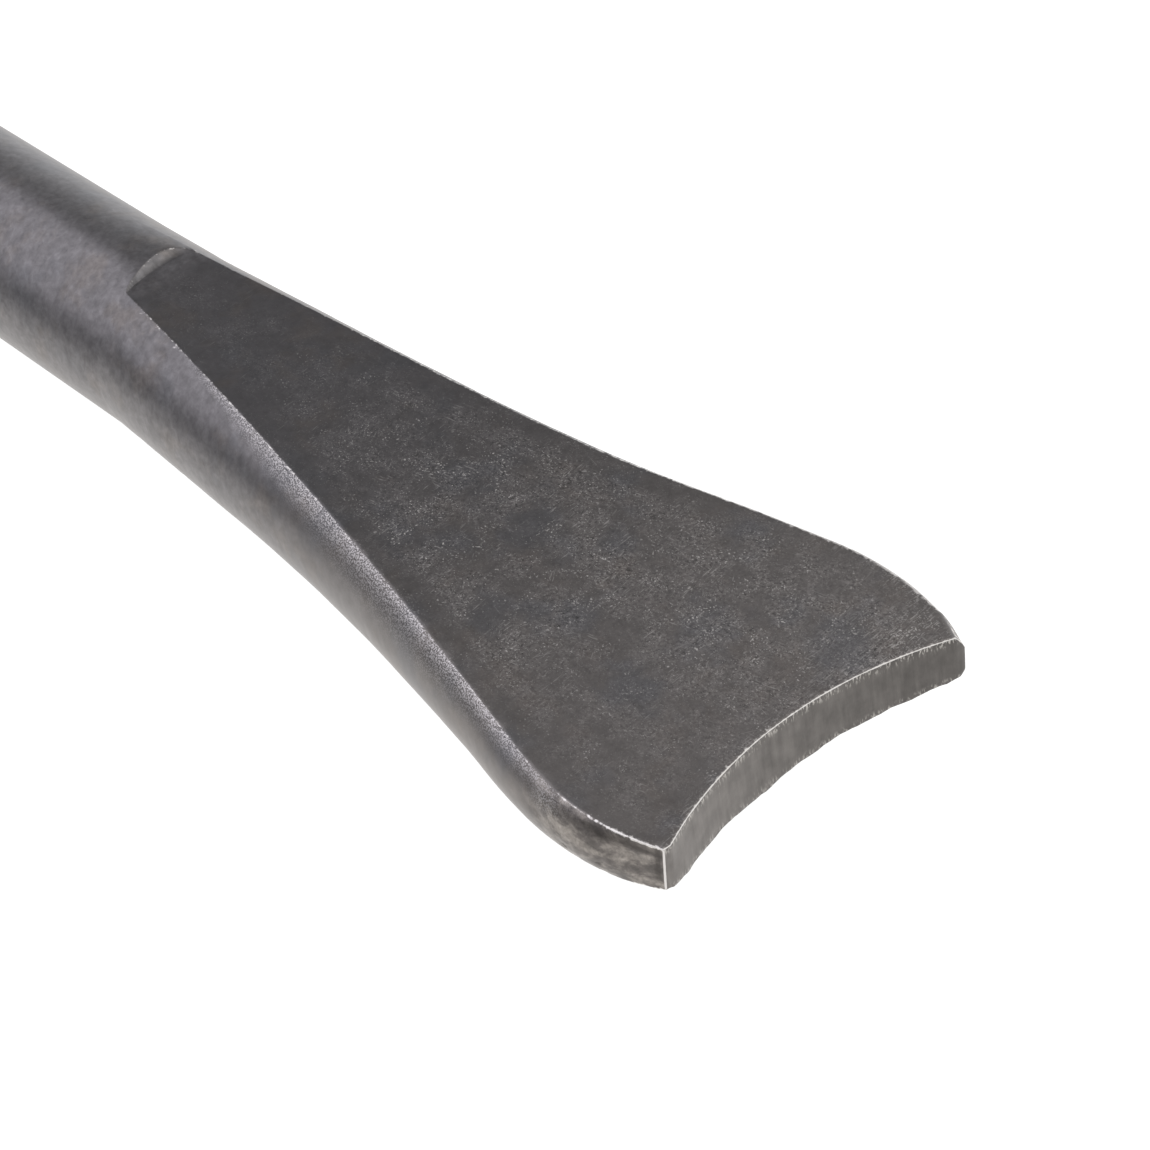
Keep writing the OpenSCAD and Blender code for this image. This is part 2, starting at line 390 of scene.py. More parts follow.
def claw_size(t):
    """Half width of the flat, half thickness and bulge of the sides, at a share t of the claw's length."""
    half_t = BAR_R + (CLAW_T / 2 - BAR_R) * (1 - (1 - t) ** 1.6)
    half_w = BAR_R + (CLAW_W / 2 - BAR_R) * ease(0.9 * t) / ease(0.9)
    round_side = half_t * (1 - 0.75 * ease(1.6 * t))
    return float(max(half_w - round_side, 1e-6)), float(half_t), float(round_side)


def slot_path():
    """Points on the nail slot's outline, from the middle of its round root to its mouth, and the way into the
    metal at each."""
    root_r = SLOT_ROOT_W / 2
    root_x = CLAW_L - SLOT_L + root_r
    opening = math.atan((SLOT_MOUTH_W / 2 - root_r) / (SLOT_L - root_r))
    turn = np.linspace(0, math.pi / 2 - opening, 7)
    points = [(root_x - root_r * math.cos(a), root_r * math.sin(a)) for a in turn]
    into = [(-math.cos(a), math.sin(a)) for a in turn]
    wall = Vector(points[-1])
    for share in np.linspace(0, 1, 19)[1:]:
        x = wall.x + (CLAW_L - wall.x) * share
        points.append((x, wall.y + (x - wall.x) * math.tan(opening)))
        into.append(into[len(turn) - 1])
    return np.array(points), np.array(into)


def claw_frame():
    """Where the hook ends and the claw starts, the way along the claw, and the way out from the hook."""
    root = np.array([-SHANK_L - HOOK_R * math.sin(HOOK_ANGLE), 0, HOOK_R - HOOK_R * math.cos(HOOK_ANGLE)])
    along = np.array([-math.cos(HOOK_ANGLE), 0, math.sin(HOOK_ANGLE)])
    away = np.array([-math.sin(HOOK_ANGLE), 0, -math.cos(HOOK_ANGLE)])
    return root, along, away


def claw_half(side):
    """Half sections of the claw from its tip back to its root, and the wall of its slot."""
    slot, into = slot_path()
    edge = 0.35 * MM
    before = np.linspace(0, slot[0, 0] - 1.5 * edge, 16)
    stations = [(x, None) for x in before] + [(p[0], i) for i, p in enumerate(slot)]
    rows, walls = [], []
    for x, i in stations:
        w, h, b = claw_size(x / CLAW_L)
        quarter = claw_quarter(w, h, b, root_share=0.28, edge=0.2 * MM)
        yz = np.concatenate([quarter, quarter[-2::-1] * [1, -1]])
        xs = np.full(len(yz), x)
        if i is not None:
            e_x, e_y = slot[i] + into[i] * edge
            inner = np.clip(1 - yz[:, 0] / w, 0, 1)
            xs = xs + (e_x - x) * inner
            yz[:, 0] += e_y * inner
            offsets = np.array([1, 0.3, 0, 0, 0, 0.3, 1]) * edge
            heights = np.array([h, h - 0.3 * edge, h - edge, 0, edge - h, 0.3 * edge - h, -h])
            walls.append([(*(slot[i] + into[i] * o), z) for o, z in zip(offsets, heights)])
        sweep = CLAW_SWEEP * (xs / CLAW_L) ** 2
        rows.append(np.stack([xs, side * yz[:, 0], -yz[:, 1] + sweep], -1))
    walls = np.array(walls)
    walls[:, :, 2] = -walls[:, :, 2] + CLAW_SWEEP * (walls[:, :, 0] / CLAW_L) ** 2
    walls[:, :, 1] *= side
    root, along, away = claw_frame()

    def placed(p):
        return root + p[..., :1] * along + p[..., 1:2] * [0, 1, 0] + p[..., 2:] * away

    return placed(np.array(rows)[::-1]), placed(walls)


def claw_end(ring, inner):
    """The end face of one tine, between the claw's last station and the wall of the slot."""
    n = FLAT_STEPS
    top, bottom = ring[: n + 1], ring[::-1][: n + 1]
    outer = ring[n : len(ring) - n]
    rows = len(outer)
    places = np.linspace(0, len(inner) - 1, rows)
    left = np.stack([np.interp(places, np.arange(len(inner)), inner[:, k]) for k in range(3)], -1)
    u = np.linspace(0, 1, n + 1)[:, None]
    face = np.zeros((rows, n + 1, 3))
    for i in range(rows):
        v = i / (rows - 1)
        corner = (1 - u) * ((1 - v) * left[0] + v * left[-1]) + u * ((1 - v) * outer[0] + v * outer[-1])
        face[i] = (1 - v) * top + v * bottom + (1 - u) * left[i] + u * outer[i] - corner
    return face


# ---- meshes


class Skin:
    """Grids of points, welded into one mesh where they meet."""

    def __init__(self):
        self.points, self.faces, self.count = [], [], 0

    def grid(self, points, closed=False):
        """A grid of points (row, column, xyz). With closed, its last column joins its first."""
        rows, cols = points.shape[:2]
        index = self.count + np.arange(rows * cols).reshape(rows, cols)
        if closed:
            index = np.concatenate([index, index[:, :1]], 1)
        quads = np.stack([index[:-1, :-1], index[:-1, 1:], index[1:, 1:], index[1:, :-1]], -1)
        self.points.append(points.reshape(-1, 3))
        self.faces.append(quads.reshape(-1, 4))
        self.count += rows * cols

    def mesh(self, name):
        """The welded mesh, with its faces turned outwards."""
        points = np.concatenate(self.points)
        faces = np.concatenate(self.faces)
        places = np.round(points / WELD).astype(np.int64)
        _, first, same = np.unique(places, axis=0, return_index=True, return_inverse=True)
        points, faces = points[first], same.reshape(-1)[faces]
        kept = []
        for face in faces.tolist():
            corners = [c for i, c in enumerate(face) if c != face[i - 1]]
            if len(corners) > 2:
                kept.append(corners)
        mesh = bpy.data.meshes.new(name)
        mesh.from_pydata(points.tolist(), [], kept)
        turn_outwards(mesh)
        mesh.shade_smooth()
        return mesh


def turn_outwards(mesh):
    """Turns the faces of a closed mesh outwards."""
    work = bmesh.new()
    work.from_mesh(mesh)
    bmesh.ops.recalc_face_normals(work, faces=work.faces)
    if work.calc_volume(signed=True) < 0:
        bmesh.ops.reverse_faces(work, faces=work.faces)
    work.to_mesh(mesh)
    work.free()


def positions(mesh):
    co = np.empty(len(mesh.vertices) * 3)
    mesh.vertices.foreach_get("co", co)
    return co.reshape(-1, 3)


def normals(mesh):
    n = np.empty(len(mesh.vertices) * 3)
    mesh.vertex_normals.foreach_get("vector", n)
    return n.reshape(-1, 3)


def move_to(mesh, points):
    mesh.vertices.foreach_set("co", points.ravel())
    mesh.update()


def bends(mesh, n):
    """How far the surface turns at each vertex, over the sharpest of the mesh edges that meet there."""
    ends = np.empty(len(mesh.edges) * 2, np.int32)
    mesh.edges.foreach_get("vertices", ends)
    a, b = ends.reshape(-1, 2).T
    turn = np.linalg.norm(n[a] - n[b], axis=1)
    sharpest = np.zeros(len(n))
    np.maximum.at(sharpest, a, turn)
    np.maximum.at(sharpest, b, turn)
    return sharpest


def paint(mesh, name, values):
    """Stores one number for each vertex, which a material reads by that name."""
    layer = mesh.attributes.new(name, "FLOAT", "POINT")
    layer.data.foreach_set("value", np.asarray(values, np.float32))


def add_piece(name, mesh, nodes, material):
    """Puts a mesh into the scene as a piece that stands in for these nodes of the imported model."""
    piece = bpy.data.objects.new(name, mesh)
    bpy.context.scene.collection.objects.link(piece)
    mesh.materials.append(material)
    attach(piece, "root")
    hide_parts(*nodes)


# ---- the bar


def build_bar(material):
    """The whole forging as one closed mesh, both halves welded along the middle."""
    skin = Skin()
    for side in (-1, 1):
        claw, slot_wall = claw_half(side)
        blade = shank_and_blade(side)
        rings, wall = rim_and_wall(blade[-1], side)
        skin.grid(np.concatenate([claw, hook_half(side)[1:], blade, np.array(rings)]))
        skin.grid(slot_wall)
        skin.grid(wall)
        skin.grid(claw_end(claw[0], slot_wall[-1]))
    mesh = skin.mesh("bar_body")
    mesh.transform(Matrix.Translation((STEP_X, 0, AXIS_Z)))
    bar = BarPoints(mesh)
    roughen_bar(mesh, bar)
    paint_flats(mesh, bar)
    paint_sides(mesh, bar)
    paint_light_and_shade(mesh, bar)
    paint_wear_and_highlight(mesh, bar)
    paint_end(mesh, bar)
    add_piece("forged_bar", mesh, ["bar"], material)


class BarPoints:
    """Where the vertices of the smooth bar lie: x from the step to the tip, y to the far side, z up from the
    axis. The shares, from 0 to 1, say how far a vertex belongs to a part of the blade."""

    def __init__(self, mesh):
        self.p, self.n = positions(mesh), normals(mesh)
        self.x, self.y, self.z = (self.p - [STEP_X, 0, AXIS_Z]).T
        self.far = self.y > 0
        self.top = self.z > 0
        self.near = rise(-self.y, 0, 1 * MM)
        self.flat_w = flat_y(self.x) + far_spread(self.x) * self.far
        self.flat_h = flat_z(self.x)
        self.from_edge = np.hypot(np.abs(self.y) - self.flat_w, np.abs(self.z) - self.flat_h)
        self.from_end = end_x(self.y) - self.x
        self.on_blade = rise(self.x, 0.5 * MM, 2 * MM)
        self.on_flat = rise(np.abs(self.n[:, 2]), 0.93, 0.05) * self.on_blade
        self.at_end = rise(self.n[:, 0], 0.4, 0.4) * (self.x > END_ZONE_X)
        self.on_side = self.on_blade * (1 - self.on_flat) * (1 - self.at_end)
        self.corroded = rise(self.x, 75.5 * MM, 6 * MM) * self.on_side * self.near


def roughen_bar(mesh, bar):
    """Moves the surface a little, as forging and wear leave it. The end's lower rim is ragged, sags in its
    middle and is undercut at its corners."""
    p, y, z = bar.p, bar.y, bar.z
    inside = rise(bar.from_edge, 0.1 * MM, 1.5 * MM) * rise(bar.from_end, 0, 2 * MM)
    waves = 0.045 * MM * fractal(p, 9 * MM, 2, 3.0) * bar.on_blade * (0.4 + 0.6 * inside)
    pits = rise(fractal(p, 1.5 * MM, 2, 8.0), 0.25, 0.5) * inside
    pits *= 0.03 * MM * bar.on_blade + 0.14 * MM * bar.corroded
    grain = 0.006 * MM * fractal(p, 0.7 * MM, 2, 5.0) * bar.on_blade
    chips = rise(fractal(p, 1.1 * MM, 2, 21.0), 0.1, 0.5) * bell(bar.from_edge, 0.4 * MM) * bar.on_blade
    outward = (waves - pits + grain) * (1 - bar.at_end) - 0.05 * MM * chips
    moved = p + bar.n * outward[:, None]

    tear_marks = fractal(p * [1, 1, 0.12], 1.6 * MM, 2, 33.0)
    moved[:, 0] += 0.03 * MM * tear_marks * bar.at_end
    low_rim = bell(bar.from_end, 0.35 * MM) * bell(z + TIP_T / 2, 0.5 * MM)
    ragged = 0.2 * MM * fractal(p, 1.7 * MM, 3, 12.0)
    sag = 0.4 * MM * bell(y + 3 * MM, 5 * MM)
    moved[:, 2] += low_rim * (ragged - sag)
    low_end = np.clip(0.5 - z / TIP_T, 0, 1) * rise(bar.x, 85 * MM, 5 * MM)
    undercut = UNDERCUT * bell(y + 16.4 * MM, 1.5 * MM) + 0.2 * MM * rise(y, 12 * MM, 4 * MM)
    moved[:, 0] -= low_end * undercut
    moved[:, 2] += low_end * 0.12 * MM * rise(y, 8 * MM, 6 * MM)
    move_to(mesh, moved)


def paint_flats(mesh, bar):
    """Grit on the flats, less of it by the step and towards the near corner, their dull first part, and the
    brushed steel along the far edge, on the far corner and along the end."""
    x, y = bar.x, bar.y
    past_step = 0.3 + 0.7 * rise(x, 16 * MM, 32 * MM)
    smoother = 1 - 0.4 * rise(x, 62 * MM, 15 * MM) * rise(-y, -2 * MM, 8 * MM)
    inside = 0.35 + 0.65 * rise(bar.from_edge, 1 * MM, 3 * MM)
    paint(mesh, "grit", bar.on_flat * past_step * smoother * inside)
    paint(mesh, "dull", bar.on_flat * (1 - rise(x, 36 * MM, 50 * MM)))
    far_rim = 0.8 * bell(bar.from_edge, 1.3 * MM) * rise(x, 60 * MM, 20 * MM) * bar.far
    far_corner = bell(np.hypot(x - BLADE_L, 0.7 * (y - 15 * MM)), 8 * MM)
    end_rim = 0.7 * bell(bar.from_end, 0.9 * MM)
    paint(mesh, "brushed", bar.on_flat * np.maximum.reduce([far_rim, far_corner, end_rim]))


def paint_sides(mesh, bar):
    """Sandy grains along the edge of the flat, the crust and soot on the near shoulder, and the scale of the
    shank, which reaches over the start of the blade."""
    x = bar.x
    below_edge = bar.flat_h - bar.z
    band_l = rise(x, 10 * MM, 12 * MM) * rise(-x, -86 * MM, 16 * MM)
    band_w = 0.15 * MM + 2.1 * MM * rise(x, 10 * MM, 38 * MM) * (1 - 0.5 * rise(x, 55 * MM, 20 * MM))
    sandy = band_l * bell(bar.from_edge, band_w) * (0.4 + 0.6 * bar.near) * bar.on_side
    scab = 0.7 * bell(x - 79.5 * MM, 1.8 * MM) * bell(below_edge - 0.9 * MM, 0.9 * MM)
    paint(mesh, "sandy", np.maximum(sandy, scab * bar.near * bar.on_side))
    paint(mesh, "rusty", bar.corroded)
    under_edge = 0.75 * bell(below_edge - 0.75 * MM, 0.5 * MM) * rise(x, 79 * MM, 5 * MM)
    by_corner = bell(x - BLADE_L + 0.5 * MM, 0.4 * MM) * rise(bar.z, -1.6 * MM, 0.6 * MM)
    paint(mesh, "sooty", bar.corroded * np.maximum(under_edge, by_corner))
    paint(mesh, "scaly", (1 - bar.on_flat) * (1 - rise(x, 20 * MM, 30 * MM)))
    paint(mesh, "shanked", 1 - rise(x, 15 * MM, 50 * MM))


def paint_light_and_shade(mesh, bar):
    """Painted shade and light: darker (above 0) at the foot of the step, as painted shade in its crease, and
    lighter (below 0) on the step's face and on the near side before the crust, as painted light."""
    cut, lean = step_cut(bar.x, bar.y)
    on_face = (bar.x < 0) * (bar.z > FLAT_Z0 - 0.2 * MM) * bell(cut - bar.z, 0.12 * MM)
    # Painted shade in the crease at the foot of the step.
    foot = rise(lean, 0, 0.15) * (1 - rise(lean, 0, 0.6)) * rise(-bar.y, -4.4 * MM, 2 * MM)
    # Painted light on the face of the step.
    face = 0.65 * rise(lean, 0.1, 0.5)
    # Painted light on the near side before the crust, where the side catches the light.
    painted_light_near_side = 0.4 * bell(bar.x - 73 * MM, 7 * MM) * bar.near * bar.on_side
    paint(mesh, "painted_shade_and_light", on_face * (foot - face) - painted_light_near_side)


def paint_wear_and_highlight(mesh, bar):
    """Edges that wear has made bright: round the end, along the flats, on the far corner's chamfer, and on the
    claw with its tips; and a painted highlight along the crest over the step."""
    x, y, z, n = bar.x, bar.y, bar.z, bar.n
    slack = 0.15 + 0.25 * (y > 16 * MM) * (n[:, 0] < 0.68)
    by_end = (bar.from_end < 0.15 * MM) * (x > END_ZONE_X)
    outline = 1.15 * bell(n[:, 0] - 0.68, slack) * by_end * (0.45 + 0.55 * bar.top)
    by_step = 0.3 + 0.14 * bar.near
    strength = by_step + (0.55 - by_step) * rise(x, 10 * MM, 20 * MM) + 0.08 * rise(x, 70 * MM, 12 * MM)
    strength += np.where(bar.far, 0.4 * rise(x, 45 * MM, 20 * MM), 0.15 * rise(x, 83 * MM, 6 * MM))
    line_w = np.where(bar.far, 0.2, 0.14 + 0.06 * rise(x, 81 * MM, 6 * MM)) * MM
    edge = strength * bell(bar.from_edge, line_w) * bar.on_blade
    lip = 0.42 * bell(bar.from_end, 0.4 * MM) * bar.on_flat * bar.top
    over_step = (x < 0) * (z > FLAT_Z0 - 0.3 * MM)
    # A painted highlight along the crest of the step.
    crest_highlight = 0.48 * bell(step_cut(x, y)[0] - round_top(x, y), 0.07 * MM) * over_step
    on_chamfer = far_chamfer(x, 1) * (y > bar.flat_w - 1.2 * MM) * bar.top * (1 - bar.at_end)
    bevel = 0.62 * bell(n[:, 2] - 0.6, 0.25) * on_chamfer
    claw_edges = 0.85 * rise(bends(mesh, n), 0.22, 0.25) * rise(-x, SHANK_L, 5 * MM)
    root, along, _ = claw_frame()
    reach = (np.stack([x, y, z], -1) - root) @ along
    claw_tips = 0.52 * rise(reach, CLAW_L - 7 * MM, 6 * MM) * (z > HOOK_R)
    paint(mesh, "worn", np.maximum.reduce([outline, edge, lip, crest_highlight, bevel, claw_edges, claw_tips]))


def paint_end(mesh, bar):
    """The sheared end wall, and the burrs along its upper and lower rims."""
    upper = 1 - rise(bar.flat_h - bar.z, 0, 1 * MM)
    lower = 1 - rise(bar.flat_h + bar.z, 0, 0.8 * MM)
    paint(mesh, "sheared", bar.at_end)
    paint(mesh, "burred", bar.at_end * (upper + 0.7 * lower))


# ---- grip


def grip_angles(*places):
    """Angles round the grip: evenly spread, with more of them close to each of these places."""
    even = np.linspace(0, 2 * math.pi, 145)[:-1]
    close = np.radians([-1.0, -0.5, -0.25, 0.0, 0.25, 0.5, 1.0])
    extra = [(place + close) % (2 * math.pi) for place in places]
    return np.unique(np.round(np.concatenate([even, *extra, key_edges()]), 7))


def key_edges():
    """Angles of the edges of the keys, at their foot and at their top."""
    foot, top = math.asin(KEY_W / 2 / SLEEVE_R), math.atan(KEY_W / 2 / KEY_TOP)
    middles = math.pi / 4 + 2 * math.pi * np.arange(KEY_COUNT) / KEY_COUNT
    return np.concatenate([middles - foot, middles - top, middles + top, middles + foot]) % (2 * math.pi)


def key_radius(angles):
    """Radius of the sleeve with its keys, at each of these angles."""
    step = 2 * math.pi / KEY_COUNT
    off = np.abs((angles - math.pi / 4 + step / 2) % step - step / 2)
    top = math.atan(KEY_W / 2 / KEY_TOP)
    return np.where(off < top + 1e-6, KEY_TOP / np.cos(off), SLEEVE_R)


def ring(x, radius, angles, limit_z=None):
    """A ring of points round the bar's axis, x from the rear of the grip, cut off softly at any limit_z."""
    y, z = radius * np.cos(angles), radius * np.sin(angles)
    if limit_z is not None:
        soft = 0.1 * MM
        gap = np.abs(z) - limit_z
        z = np.sign(z) * (np.abs(z) + limit_z - np.sqrt(gap**2 + soft**2)) / 2
    return np.stack([np.full_like(y, CORE_LOW.x + x), y, AXIS_Z + z], -1)


def keyed_rings(angles, clear):
    """Rings of the sleeve between the collars, with its keys, from the rear forwards."""
    start, stop = (GRIP_L - KEY_L) / 2, (GRIP_L + KEY_L) / 2
    plain, keyed = SLEEVE_R + clear, key_radius(angles) + clear
    rings = [ring(x, plain, angles) for x in np.linspace(COLLAR_L, start, 5)]
    rings += [ring(x, keyed, angles) for x in np.linspace(start, stop, 13)]
    return rings + [ring(x, plain, angles) for x in np.linspace(stop, GRIP_L - COLLAR_L, 5)]


def collar_rings(angles):
    """Rings over one collar, from its outer end to the sleeve."""
    bore = BAR_R + 0.04 * MM
    profile = [(0.0, 1.2, 0.25), (0.07, 1.05, 0.07), (0.25, 0.8, 0.0), (0.8, 0.22, 0.0), (1.0, 0.07, 0.0),
               (1.3, 0.0, 0.0)]
    half = [(x * MM, COLLAR_R - r * MM, COLLAR_FLAT_Z - z * MM) for x, r, z in profile]
    over = half + [(COLLAR_L / 2, COLLAR_R, COLLAR_FLAT_Z)] + [(COLLAR_L - x, r, z) for x, r, z in half[::-1]]
    first, last = ring(*over[0][:2], angles, over[0][2]), ring(*over[-1][:2], angles, over[-1][2])
    lip, foot = ring(0.0, bore + 0.35 * MM, angles), ring(COLLAR_L, SLEEVE_R, angles)
    rings = [ring(0.35 * MM, bore, angles), ring(0.1 * MM, bore + 0.1 * MM, angles)]
    rings += [lip * (1 - t) + first * t for t in (0.0, 0.1, 0.35, 0.65, 0.9)]
    rings += [ring(x, r, angles, z) for x, r, z in over]
    return rings + [last * (1 - t) + foot * t for t in (0.1, 0.35, 0.65, 0.9)]


def mirrored(rings):
    """The same rings at the other end of the grip, in reverse order."""
    turned = [r.copy() for r in rings[::-1]]
    for r in turned:
        r[:, 0] = 2 * CORE_LOW.x + GRIP_L - r[:, 0]
    return turned


def build_core(material):
    """The hard sleeve: a collar at each end, and keys along the outside in between."""
    corner = math.asin(COLLAR_FLAT_Z / COLLAR_R)
    angles = grip_angles(corner, math.pi - corner, math.pi + corner, 2 * math.pi - corner)
    collar = collar_rings(angles)
    rings = collar + keyed_rings(angles, 0.0) + mirrored(collar)
    skin = Skin()
    skin.grid(np.array(rings + [rings[0]]), closed=True)
    mesh = skin.mesh("core_body")
    p = positions(mesh)
    x = np.minimum(p[:, 0] - CORE_LOW.x, CORE_HIGH.x - p[:, 0])
    radius = np.hypot(p[:, 1], p[:, 2] - AXIS_Z)
    sinks = -0.05 * MM * rise(fractal(p, 5 * MM, 2, 4.0), 0.1, 0.6) * (radius > SLEEVE_R + 2 * MM)
    outward = (p - [0, 0, AXIS_Z]) * [0, 1, 1] / np.maximum(radius, 1 * MM)[:, None]
    move_to(mesh, p + outward * sinks[:, None])
    at_edge = bell(x - 0.5 * MM, 0.6 * MM) + bell(x - COLLAR_L + 0.5 * MM, 0.6 * MM)
    at_edge = at_edge * rise(radius, COLLAR_R - 2 * MM, 1.5 * MM)
    on_corner = bell(radius - COLLAR_R, 0.3 * MM) * bell(np.abs(p[:, 2] - AXIS_Z) - COLLAR_FLAT_Z, 0.3 * MM)
    paint(mesh, "rubbed", np.clip(np.maximum(at_edge, on_corner), 0, 1))
    add_piece("hard_core", mesh, ["grip_core"], material)


def cushion_radius(x):
    """Outer radius of the cushion, and how deep in a groove that is, from 0 to 1; x from the grip's rear."""
    first = GRIP_L / 2 - (GROOVE_COUNT - 1) * GROOVE_PITCH / 2
    off = np.abs(x[:, None] - first - GROOVE_PITCH * np.arange(GROOVE_COUNT)).min(1) / (GROOVE_W / 2)
    groove = np.where(off < 1, (1 + np.cos(math.pi * off)) / 2, 0)
    swell = CUSHION_SWELL * np.sin(math.pi * (x - COLLAR_L) / (GRIP_L - 2 * COLLAR_L))
    return CUSHION_R + swell - GROOVE_DEPTH * groove, groove


def build_cushion(material):
    """The soft sleeve: grooved outside, with a mould seam along each side, and hollowed for the keys."""
    angles = grip_angles(0.0, math.pi)
    seam = np.minimum(np.abs(np.sin(angles)) * CUSHION_R / (0.22 * MM), 1)
    ridge = 0.06 * MM * (1 - ease(seam))
    start, stop = COLLAR_L + CUSHION_GAP, GRIP_L - COLLAR_L - CUSHION_GAP
    x = np.linspace(start + 1.2 * MM, stop - 1.2 * MM, 150)
    radius = cushion_radius(x)[0]
    ends = [(0.0, 1.25), (0.05, 1.08), (0.2, 0.85), (0.75, 0.25), (0.95, 0.08)]
    rear = [(start + a * MM, CUSHION_R - b * MM) for a, b in ends]
    front = [(stop - a * MM, CUSHION_R - b * MM) for a, b in ends[::-1]]
    inner = [ring(a, SLEEVE_R + CUSHION_GAP, angles) for a in (start, stop)]
    outer = [ring(a, r, angles) for a, r in rear]
    outer += [ring(a, r + ridge, angles) for a, r in zip(x, radius)]
    outer += [ring(a, r, angles) for a, r in front]
    bore = keyed_rings(angles, CUSHION_GAP)[::-1]
    rings = [inner[0]] + outer + [inner[1]] + bore[1:-1]
    skin = Skin()
    skin.grid(np.array(rings + [rings[0]]), closed=True)
    mesh = skin.mesh("cushion_body")
    p = positions(mesh)
    out = rise(np.hypot(p[:, 1], p[:, 2] - AXIS_Z), KEY_TOP + 0.2 * MM, 0.2 * MM)
    groove = cushion_radius(np.clip(p[:, 0] - CORE_LOW.x, start, stop))[1]
    paint(mesh, "grooved", groove * out)
    paint(mesh, "handled", (1 - groove) * out * (0.5 + 0.5 * fractal(p, 14 * MM, 2, 6.0)))
    add_piece("soft_cushion", mesh, ["grip_cushion"], material)


# ---- materials


class Nodes:
    """Adds and joins the nodes of one tree."""

    def __init__(self, tree):
        self.tree = tree
        tree.nodes.clear()

    def add(self, kind, inputs=None, **settings):
        """A node with these settings. Each input is another node's output or a plain value."""
        node = self.tree.nodes.new("ShaderNode" + kind)
        for name, value in settings.items():
            setattr(node, name, value)
        for name, value in (inputs or {}).items():
            socket = node.inputs[name]
            if isinstance(value, bpy.types.NodeSocket):
                self.tree.links.new(value, socket)
            else:
                socket.default_value = value
        return node

    def math(self, operation, a, b=0.0, clamp=False):
        return self.add("Math", {0: a, 1: b}, operation=operation, use_clamp=clamp).outputs[0]

    def plus(self, a, b):
        return self.math("ADD", a, b)

    def both(self, a, b):
        """The product of two shares."""
        return self.math("MULTIPLY", a, b)

    def either(self, a, b):
        """The greater of two shares."""
        return self.math("MAXIMUM", a, b)

    def span(self, value, low, high, to_low=0.0, to_high=1.0, smooth=True):
        """The value, led from low..high to to_low..to_high and level outside."""
        kind = "SMOOTHSTEP" if smooth else "LINEAR"
        inputs = {"Value": value, "From Min": low, "From Max": high, "To Min": to_low, "To Max": to_high}
        return self.add("MapRange", inputs, interpolation_type=kind).outputs[0]

    def mix(self, share, a, b, blend="MIX"):
        """Colour a, with that share of colour b mixed in."""
        node = self.add("Mix", {0: share, 6: a, 7: b}, data_type="RGBA", blend_type=blend)
        return node.outputs[2]

    def scaled(self, color, factor):
        return self.mix(1.0, color, factor, "MULTIPLY")

    def varied(self, color, value, amount):
        """The colour, darker and lighter as the value goes below and above its middle."""
        swing = self.both(self.math("SUBTRACT", value, 0.5), amount)
        return self.scaled(color, self.plus(swing, 1.0))

    def noise(self, vector, size, detail=2.0, roughness=0.5, distortion=0.0):
        """Noise from about 0 to 1 with features of that size."""
        inputs = {"Vector": vector, "Scale": 1 / size, "Detail": detail, "Roughness": roughness,
                  "Distortion": distortion}
        return self.add("TexNoise", inputs).outputs[0]


class Look(Nodes):
    """A material with an empty tree, and the place on its piece where it is read."""

    def __init__(self, name):
        self.material = bpy.data.materials.new(name)
        self.material.use_nodes = True
        super().__init__(self.material.node_tree)
        self.at = self.add("TexCoord").outputs["Object"]

    def mask(self, name):
        """What paint() stored under that name."""
        return self.add("Attribute", attribute_name=name).outputs["Fac"]

    def moved(self, x, y, z):
        """The place, moved, so that the noise read there is another one."""
        return self.add("VectorMath", {0: self.at, 1: (x, y, z)}, operation="ADD").outputs[0]

    def stretched(self, place, scale):
        return self.add("Mapping", {"Vector": place, "Scale": scale}).outputs[0]

    def patches(self, shift, size, low, high, detail=2, roughness=0.5, to_low=0.0, to_high=1.0):
        """Soft patches of that size, from a noise of their own."""
        return self.span(self.noise(self.moved(*shift), size, detail, roughness), low, high, to_low, to_high)

    def strokes(self, turn, length, width, low, high):
        """Thin strokes that all lie at that angle to the length of the tool."""
        inputs = {"Vector": self.at, "Rotation": (0, 0, math.radians(turn)), "Scale": (length, width, width)}
        lie = self.add("Mapping", inputs, vector_type="TEXTURE").outputs[0]
        return self.span(self.noise(lie, 1.0, 1, 0.5), low, high)

    def finish(self, color, rough, height, strength, depth, **shading):
        """The surface shader, with fine relief of that depth."""
        relief = {"Height": height, "Strength": strength, "Distance": depth}
        inputs = {"Base Color": color, "Roughness": rough, "Normal": self.add("Bump", relief).outputs[0]}
        shader = self.add("BsdfPrincipled", {**inputs, **shading})
        self.add("OutputMaterial", {"Surface": shader.outputs[0]})
        return self.material


